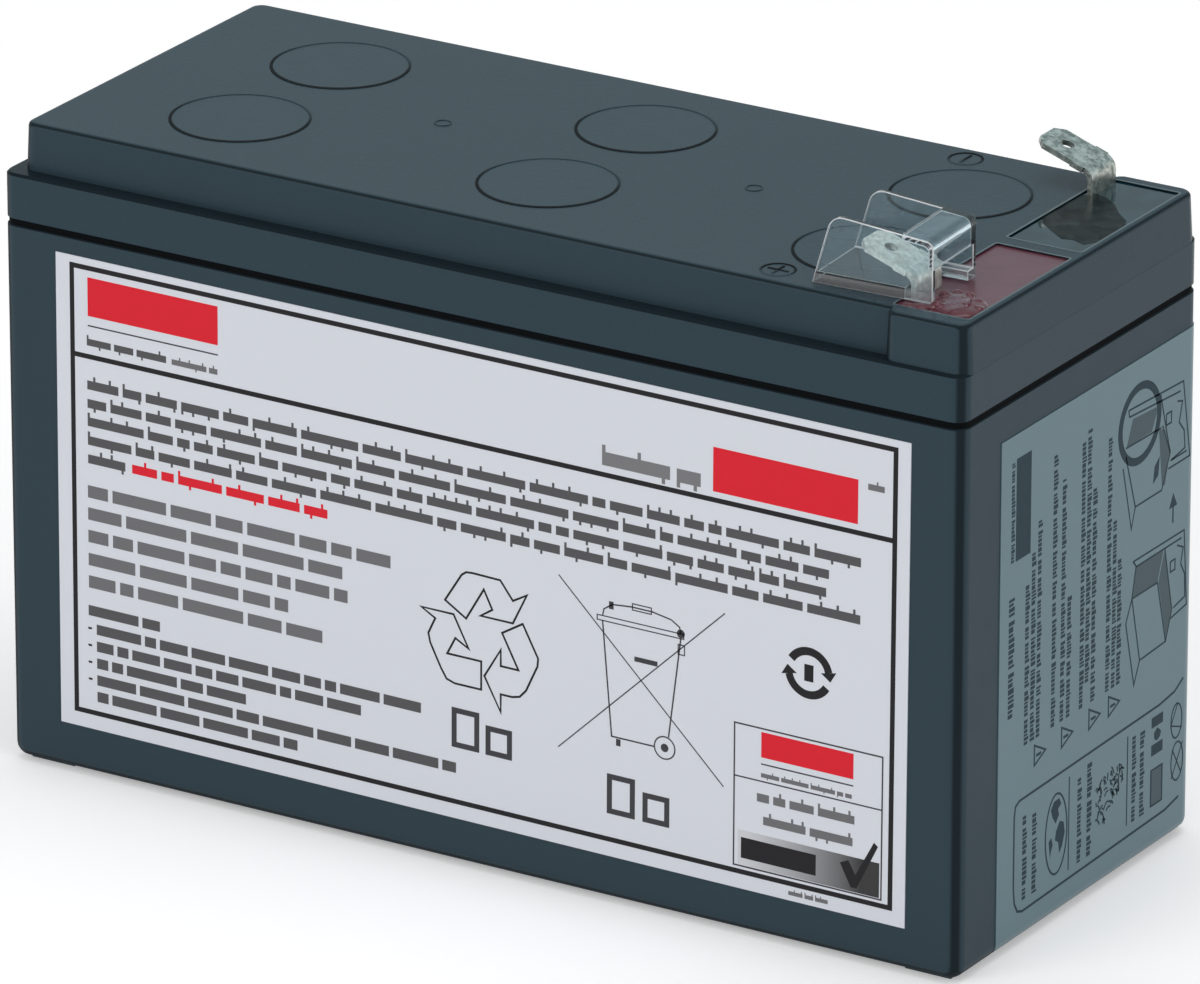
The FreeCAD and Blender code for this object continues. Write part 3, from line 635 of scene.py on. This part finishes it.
box_shades = (
    ((13.4, 65.8), (11.8, 62.3), (18.6, 62.3), (20.4, 65.4)),
    ((20.6, 62.0), (22.3, 61.4), (23.7, 57.6), (22.5, 53.4), (21.7, 53.4)),
    ((14.9, 44.0), (14.0, 39.9), (20.9, 39.9), (22.4, 44.0)),
    ((21.2, 39.8), (22.7, 43.7), (24.9, 34.6), (23.5, 30.8)),
)
globe_patches = (
    ((-7.4, 16.6), (-6.6, 17.6), (-5.2, 17.7), (-4.6, 16.7), (-5.5, 16.2), (-5.2, 15.3), (-6.1, 14.3),
     (-6.9, 15.4)),
    ((-4.9, 14.3), (-3.9, 13.8), (-3.6, 12.2), (-4.3, 10.4), (-5.0, 9.7), (-5.3, 11.3), (-6.2, 11.9),
     (-5.9, 13.1)),
    ((-7.9, 12.2), (-7.2, 12.6), (-6.8, 11.4), (-7.3, 10.6), (-7.5, 9.8)),
)
globe_oval = ((-5.9, 12.75), 5.8, 0.3, 0.5)
sign_ovals = (((26.9, 17.6), 2.5, 0.25, 0.6), ((27.2, 11.6), 2.8, 0.25, 0.58))
sign_lines = (((27.2, 20.1), (25.4, 17.3), (28.4, 16.2)), ((25.7, 9.4), (28.7, 14.0)),
              ((25.9, 13.6), (28.3, 9.7)))
map_left, map_right, map_base, map_top = 4.8, 12.2, 9.8, 16.6
map_strokes = 80
film_title = (-17.8, -13.9, 55.9, 70.4)
arrow_shaft = ((24.9, 47.1), (24.9, 49.5))
arrow_tip = ((23.8, 49.4), (26.0, 49.4), (24.9, 51.4))
lens_handle = ((19.2, 54.6), (20.6, 55.4), (20.9, 58.0), (19.6, 57.0))
plug_pins = ((20.0, 23.1, 18.8, 20.3), (20.0, 23.1, 14.7, 16.3))
plug_body = ((20.8, 17.0), (21.5, 16.6), (22.4, 17.0), (22.6, 17.7), (21.6, 18.5), (20.7, 17.9))
panel_edge = (20.0, 23.1, 7.4, 12.6)
panel_shade = (20.2, 22.9, 7.6, 12.4)
film_chance = random.Random(9)
ink = bmesh.new()
ink_field(ink, *film_title)
for side, low, high, height in film_columns:
    at = low
    while at < high - 0.3:
        for _ in range(film_chance.randint(3, 9)):
            tall = height * film_chance.choice((0.3, 0.45, 0.45, 0.6))
            if at + tall > high:
                break
            ink_field(ink, side, side + height * film_chance.choice((0.9, 0.9, 1.15)), at, at + tall)
            at += tall + 0.17 * height
        at += 0.4 * height
for middle in film_triangles:
    ink_line(ink, ((middle - 1.5, 24.8), (middle + 1.5, 26.1), (middle - 1.5, 27.7)), 0.3, closed=True)
    ink_field(ink, middle - 1.0, middle + 0.3, 25.9, 26.3)
ink_line(ink, film_frame, 0.35)
for across, low, high in film_rules:
    ink_line(ink, ((across, low), (across, high)), 0.25)
ink_arc(ink, film_lens, 5.3, 1.15, steps=48)
for centre, radius, width, squeeze in (globe_oval, *sign_ovals):
    ink_arc(ink, centre, radius, width, squeeze=squeeze)
for line in upper_box + lower_box:
    ink_line(ink, line, 0.26)
for line in sign_lines:
    ink_line(ink, line, 0.22)
for _ in range(map_strokes):
    across, up = film_chance.uniform(map_left, map_right), film_chance.uniform(map_base, map_top)
    if (across - map_left) / (map_right - map_left) < (up - map_base) / (map_top - map_base) + 0.35:
        lean, reach = film_chance.uniform(0, math.pi), film_chance.uniform(0.3, 0.7)
        swing, climb = reach * math.cos(lean), reach * math.sin(lean)
        ink_line(ink, ((across - swing, up - climb), (across, up + 0.2), (across + swing, up + climb)), 0.26)
for corners in (*globe_patches, arrow_tip, lens_handle, plug_body):
    ink_patch(ink, corners)
ink_line(ink, arrow_shaft, 0.32)
for pin in plug_pins:
    ink_field(ink, *pin)
ink_outline(ink, *panel_edge, 0.3)
on_film = (-film_face, Matrix.Rotation(math.radians(90), 3, "Z"))
finish_print(ink, "film_print", slate_ink, *on_film)
ink = bmesh.new()
for corners in box_shades:
    ink_patch(ink, corners)
ink_field(ink, *panel_shade)
finish_print(ink, "film_shading", shade_ink, -film_face + 0.4 * ink_height, on_film[1])


# Tabs: two blades for 6.35 mm push-on receptacles, bent out of the wells with a hole near the tip.
# They are stamped from brass strip, plated with dull tin, and soldered to the lead posts below.
tab_edge = 0.12 * mm
pit_depth = 0.04 * mm
merge_distance = 0.001 * mm


def tin_plating(name, dark, light, metallic):
    """Tin that was dipped and wiped: smeared light and dark, and finely pitted."""
    material, tree, shader = new_material(name, Metallic=metallic)
    place = own_place(tree)
    smear = noise(tree, place, 900, 7, Roughness=0.7)
    tree.links.new(blend(tree, smear, 0.4, dark, 0.6, light), shader.inputs["Base Color"])
    dull = put(tree, "ShaderNodeMapRange", Value=smear, From_Min=0.35, From_Max=0.65, To_Min=0.5, To_Max=0.28)
    tree.links.new(dull.outputs["Result"], shader.inputs["Roughness"])
    relief = put(tree, "ShaderNodeBump", Strength=0.6, Distance=pit_depth, Height=noise(tree, place, 2600, 2))
    tree.links.new(relief.outputs["Normal"], shader.inputs["Normal"])
    return material


tin_plate = tin_plating("dull tin plate", (0.22, 0.25, 0.23, 1), (0.66, 0.68, 0.62, 1), 1.0)
# Painted light: the positive tab takes a lighter, less metallic copy of the tin, as if lit through the clear
# guard.
lit_tin_plate = tin_plating("tin plate painted lighter", (0.5, 0.5, 0.46, 1), (0.8, 0.8, 0.74, 1), 0.6)


def softened(node, name, material, edge):
    """A merged copy of a CAD node with slightly rounded edges, which stands in its place."""
    form = bmesh.new()
    form.from_mesh(block[node].data)
    bmesh.ops.remove_doubles(form, verts=form.verts[:], dist=merge_distance)
    bmesh.ops.dissolve_limit(form, angle_limit=math.radians(1), verts=form.verts[:], edges=form.edges[:])
    piece = finish_piece(form, name, material)
    rounding = piece.modifiers.new("soft edges", "BEVEL")
    rounding.width = edge
    rounding.segments = 2
    rounding.limit_method = "ANGLE"
    rounding.angle_limit = math.radians(35)
    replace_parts(piece, node)
    return piece


softened("positive_terminal", "positive_tab", lit_tin_plate, tab_edge)
softened("negative_terminal", "negative_tab", tin_plate, tab_edge)


# Seal resin: epoxy poured round each tab to shut its well, red in the positive well, and clear over
# dark plastic in the negative one. It creeps up into a thin rim along each well's edge, coloured pale
# as a painted highlight, and a darker patch is painted on the clear one as a painted dark reflection.
ripple_depth = 0.1 * mm
red_resin, tree, shader = new_material("red resin", Roughness=0.3)
place = own_place(tree)
cloud = blend(tree, noise(tree, place, 190, 4), 0.3, (0.11, 0.03, 0.045, 1), 0.7, (0.14, 0.042, 0.062, 1))
tree.links.new(cloud, shader.inputs["Base Color"])
relief = put(tree, "ShaderNodeBump", Strength=0.3, Distance=ripple_depth, Height=noise(tree, place, 420, 2))
tree.links.new(relief.outputs["Normal"], shader.inputs["Normal"])
finish_node("positive_seal_resin", red_resin)

clear_resin, tree, shader = new_material("clear resin", Roughness=0.03)
cloud = blend(tree, noise(tree, own_place(tree), 230, 3), 0.42, (0.006, 0.03, 0.043, 1),
              0.56, (0.003, 0.017, 0.024, 1))
tree.links.new(cloud, shader.inputs["Base Color"])
finish_node("negative_seal_resin", clear_resin)

well_edges = ((62.5, 74.3, -28.5, -1.1), (62.5, 74.3, 1.1, 28.5))
well_corner = 0.6 * mm
rim_line = 0.32 * mm
rim_height = 0.06 * mm
# Painted highlight: the rim is coloured a pale blue-grey, lighter than the resin and the deck.
rim_highlight_resin = plain_material("resin rim painted pale", Base_Color=(0.075, 0.115, 0.13, 1), Roughness=0.2)
for name, (left, right, front, back) in zip(("positive_resin_rim", "negative_resin_rim"), well_edges):
    rim = bmesh.new()
    middle = ((left + right) / 2 * mm, (front + back) / 2 * mm, deck - rim_height / 2)
    bmesh.ops.create_grid(rim, x_segments=1, y_segments=1, size=0.5, matrix=Matrix.Translation(middle)
                          @ Matrix.Diagonal(((right - left) * mm, (back - front) * mm, 1, 1)))
    bmesh.ops.bevel(rim, geom=rim.verts[:], affect="VERTICES", offset=well_corner, segments=4, profile=0.5,
                    material=-1)
    line = bmesh.ops.inset_individual(rim, faces=rim.faces[:], thickness=rim_line,
                                      use_even_offset=True)["faces"]
    bmesh.ops.delete(rim, geom=[face for face in rim.faces if face not in line], context="FACES_ONLY")
    thicken(rim, (0, 0, rim_height))
    finish_piece(rim, name, rim_highlight_resin)

dark_reflection_sunk = 0.02 * mm
dark_reflection_thickness = 0.05 * mm
dark_reflection_edge = (
    (62.7, 12.5), (62.7, 15.0), (62.7, 18.0), (62.7, 20.3), (64.2, 22.6), (66.4, 21.8), (68.6, 20.1),
    (70.6, 17.6), (73.0, 15.4), (74.2, 12.6), (74.2, 9.1), (73.6, 6.2), (72.6, 4.6), (70.6, 5.4),
    (69.0, 5.0), (66.1, 7.1), (64.4, 8.6), (62.8, 10.4),
)
# Painted reflection: a dark, barely glossy patch on the clear resin stands in for the dark reflection there.
dark_reflection_resin, tree, shader = new_material("painted dark reflection", Roughness=0.2, Specular_IOR_Level=0.05)
painted_reflection = blend(tree, noise(tree, own_place(tree), 420, 4, Distortion=0.6), 0.4, (0.004, 0.0075, 0.009, 1),
              0.68, (0.018, 0.027, 0.028, 1))
tree.links.new(painted_reflection, shader.inputs["Base Color"])
clear_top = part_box("negative_seal_resin")[1].z
dark_reflection_patch = bmesh.new()
corners = [(across * mm, out * mm, clear_top - dark_reflection_sunk) for across, out in dark_reflection_edge]
dark_reflection_patch.faces.new([dark_reflection_patch.verts.new(corner) for corner in corners])
thicken(dark_reflection_patch, (0, 0, dark_reflection_thickness))
finish_piece(dark_reflection_patch, "resin_dark_reflection", dark_reflection_resin)


# Resin splash: a lump of red resin left round the positive tab's foot and against the guard. It ran
# over the set surface when the well was topped up, and dried wet-looking and uneven.
splash_resin = plain_material("wet red resin", Base_Color=(0.11, 0.022, 0.033, 1), Roughness=0.05,
                              Specular_IOR_Level=0.45)
splash_sunk = 0.5 * mm
resin_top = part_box("positive_seal_resin")[1].z - splash_sunk
splash_lumps = (
    (70.6, -24.0, 3.6, 0.62), (71.4, -25.6, 2.6, 0.62), (68.9, -22.6, 2.6, 0.62), (67.9, -20.6, 1.1, 0.75),
    (67.0, -22.4, 0.9, 1.15), (66.9, -24.4, 0.8, 1.0), (67.9, -25.9, 1.0, 0.9), (66.4, -27.3, 1.2, 0.65),
    (64.6, -27.6, 0.9, 0.55), (69.6, -20.4, 0.9, 0.7), (71.8, -21.9, 0.8, 0.7), (73.2, -24.0, 0.7, 0.65),
)
lump = bmesh.new()
for across, back, radius, rise in splash_lumps:
    bmesh.ops.create_icosphere(lump, subdivisions=3, radius=1, matrix=Matrix.Translation(
        (across * mm, back * mm, resin_top)) @ Matrix.Diagonal((radius * mm, radius * mm, rise * mm, 1)))
splash = finish_piece(lump, "resin_splash", splash_resin, smooth=True)
joined = splash.modifiers.new("one skin", "REMESH")
joined.mode = "VOXEL"
joined.voxel_size = 0.16 * mm
joined.use_smooth_shade = True
soft = splash.modifiers.new("run together", "SMOOTH")
soft.iterations = 6


# Terminal guard: a clear hood with a round-cornered roof over the positive tab. It is moulded of
# clear plastic with an open mouth for the receptacle, and is pushed on round the tab. Its edges are
# slightly rounded and painted as whiter, less clear plastic, a painted highlight of fine pale lines,
# and the sides of its floor slab are painted cloudier and lighter as painted light.
clear_plastic = plain_material("clear plastic", Base_Color=(0.88, 0.96, 0.99, 1), Roughness=0.03, IOR=1.42,
                               Transmission_Weight=0.985, Specular_Tint=(0.5, 0.64, 0.7, 1))
# Painted light: the floor slab's sides take this cloudier, lighter plastic.
painted_light_plastic = plain_material("plastic painted light", Base_Color=(0.74, 0.77, 0.79, 1), Roughness=0.14,
                                 IOR=1.46, Transmission_Weight=0.8)
# Painted highlight: the rounded edges take this whiter, less clear plastic.
painted_highlight_plastic = plain_material("plastic painted as highlight", Base_Color=(0.9, 0.92, 0.93, 1), Roughness=0.2, IOR=1.46,
                             Transmission_Weight=0.35)
guard_edge = 0.13 * mm
guard_floor_top = 94.4 * mm
guard = softened("terminal_guard", "guard_hood", clear_plastic, guard_edge)
guard.data.materials.append(painted_light_plastic)
guard.data.materials.append(painted_highlight_plastic)
guard.modifiers["soft edges"].material = 2
hood = bmesh.new()
hood.from_mesh(guard.data)
bmesh.ops.bisect_plane(hood, geom=hood.verts[:] + hood.edges[:] + hood.faces[:], dist=merge_distance,
                       plane_co=(0, 0, guard_floor_top), plane_no=(0, 0, 1))
# The floor slab's sides below its top take the plastic painted light.
for face in hood.faces:
    if face.calc_center_median().z < guard_floor_top and abs(face.normal.z) < 0.5:
        face.material_index = 1
hood.to_mesh(guard.data)
hood.free()


# Inside: six cells, each of positive and negative lead plates with a zigzag glass mat between them,
# joined by cast straps and links of lead, with rubber caps over the vents.
cast_lead = plain_material("cast lead", Base_Color=(0.28, 0.29, 0.31, 1), Metallic=0.8, Roughness=0.55)
brown_paste = plain_material("brown paste", Base_Color=(0.14, 0.07, 0.05, 1), Roughness=0.85)
grey_paste = plain_material("grey paste", Base_Color=(0.24, 0.25, 0.27, 1), Roughness=0.8)
glass_mat = plain_material("glass mat", Base_Color=(0.8, 0.8, 0.77, 1), Roughness=0.95)
cap_rubber = plain_material("cap rubber", Base_Color=(0.018, 0.018, 0.018, 1), Roughness=0.75)
for number in range(1, 7):
    finish_node("positive_plate_group_%d" % number, brown_paste)
    finish_node("negative_plate_group_%d" % number, grey_paste)
    finish_node("separator_mat_%d" % number, glass_mat)
    finish_node("valve_cap_%d" % number, cap_rubber)
for number in range(1, 6):
    finish_node("intercell_link_%d" % number, cast_lead)
for pole in ("positive", "negative"):
    finish_node(pole + "_post", cast_lead)


# Studio: a pale floor, soft lamps above and to the sides, and a white surround. The camera, glossy
# surfaces and clear plastic see floor and surround at full white, and gloss sees a greyer ceiling.
floor_half = 6
floor_lift = 0.3
surround_light = 0.5
ceiling_colour = (0.46, 0.58, 0.62, 1)


def direct_view(tree):
    """Masks of the rays that see a thing as it looks, and of the glossy ones among them."""
    path = put(tree, "ShaderNodeLightPath").outputs
    seen = maths(tree, "MAXIMUM", path["Is Camera Ray"], path["Is Glossy Ray"])
    return maths(tree, "MAXIMUM", seen, path["Is Transmission Ray"]), path["Is Glossy Ray"]


floor_paint, tree, shader = new_material("floor paint", Base_Color=(0.86, 0.86, 0.87, 1), Roughness=0.9,
                                         Emission_Color=(1, 1, 1, 1))
tree.links.new(maths(tree, "MULTIPLY", direct_view(tree)[0], floor_lift), shader.inputs["Emission Strength"])
floor_mesh = bmesh.new()
bmesh.ops.create_grid(floor_mesh, x_segments=1, y_segments=1, size=floor_half)
floor_data = bpy.data.meshes.new("floor")
floor_mesh.to_mesh(floor_data)
floor_mesh.free()
floor_data.materials.append(floor_paint)
floor = bpy.data.objects.new("floor", floor_data)
bpy.context.scene.collection.objects.link(floor)

surround = bpy.data.worlds.new("white surround")
surround.use_nodes = True
bpy.context.scene.world = surround
tree = surround.node_tree
tree.nodes.clear()
seen, glossy = direct_view(tree)
way = put(tree, "ShaderNodeTexCoord").outputs["Generated"]
rise = put(tree, "ShaderNodeSeparateXYZ", Vector=way).outputs["Z"]
ceiling = put(tree, "ShaderNodeMapRange", {"interpolation_type": "SMOOTHSTEP"}, Value=rise,
              From_Min=0.08, From_Max=0.3, To_Min=0, To_Max=1).outputs["Result"]
walls = mixed(tree, maths(tree, "MULTIPLY", glossy, ceiling), (1, 1, 1, 1), ceiling_colour)
lighting = put(tree, "ShaderNodeBackground", Color=(1, 1, 1, 1), Strength=surround_light)
backdrop = put(tree, "ShaderNodeBackground", Color=walls, Strength=1.0)
either = tree.nodes.new("ShaderNodeMixShader")
for number, value in enumerate((seen, lighting.outputs[0], backdrop.outputs[0])):
    tree.links.new(value, either.inputs[number])
tree.links.new(either.outputs[0], put(tree, "ShaderNodeOutputWorld").inputs["Surface"])

lamp_target = Vector((0, 0, 0.05))
for name, place, size, power in (
        ("top lamp", (0.1, 0.2, 1.9), 1.4, 9.0),
        ("front left lamp", (-0.7, -1.7, 1.0), 1.0, 9.0),
        ("right lamp", (1.8, -0.5, 1.0), 1.0, 5.0)):
    light = bpy.data.lights.new(name, "AREA")
    light.shape = "SQUARE"
    light.size = size
    light.energy = power
    lamp = bpy.data.objects.new(name, light)
    lamp.location = place
    lamp.rotation_mode = "QUATERNION"
    lamp.rotation_quaternion = (lamp_target - Vector(place)).to_track_quat("-Z", "Y")
    bpy.context.scene.collection.objects.link(lamp)


# Camera: stands front right and above, with a long lens, where the photograph was taken from.
turn_round = 0.551885
look_down = 0.373121
camera_aim = Vector((0, 0, 0.047))
camera_distance = 1.698012
camera_right = 0.000334
camera_down = 0.002488
back = Vector((math.sin(turn_round) * math.cos(look_down), -math.cos(turn_round) * math.cos(look_down),
               math.sin(look_down)))
rightwards = (-back).cross(Vector((0, 0, 1))).normalized()
upwards = rightwards.cross(-back)
camera_data = bpy.data.cameras.new("camera")
camera_data.sensor_width = 36
camera_data.lens = 374.563
camera_data.clip_start = 0.05
camera_data.clip_end = 50
camera = bpy.data.objects.new("camera", camera_data)
camera.location = camera_aim + back * camera_distance + rightwards * camera_right - upwards * camera_down
camera.rotation_mode = "QUATERNION"
camera.rotation_quaternion = back.to_track_quat("Z", "Y")
bpy.context.scene.collection.objects.link(camera)
bpy.context.scene.camera = camera

view = bpy.context.scene.view_settings
view.view_transform = "Standard"
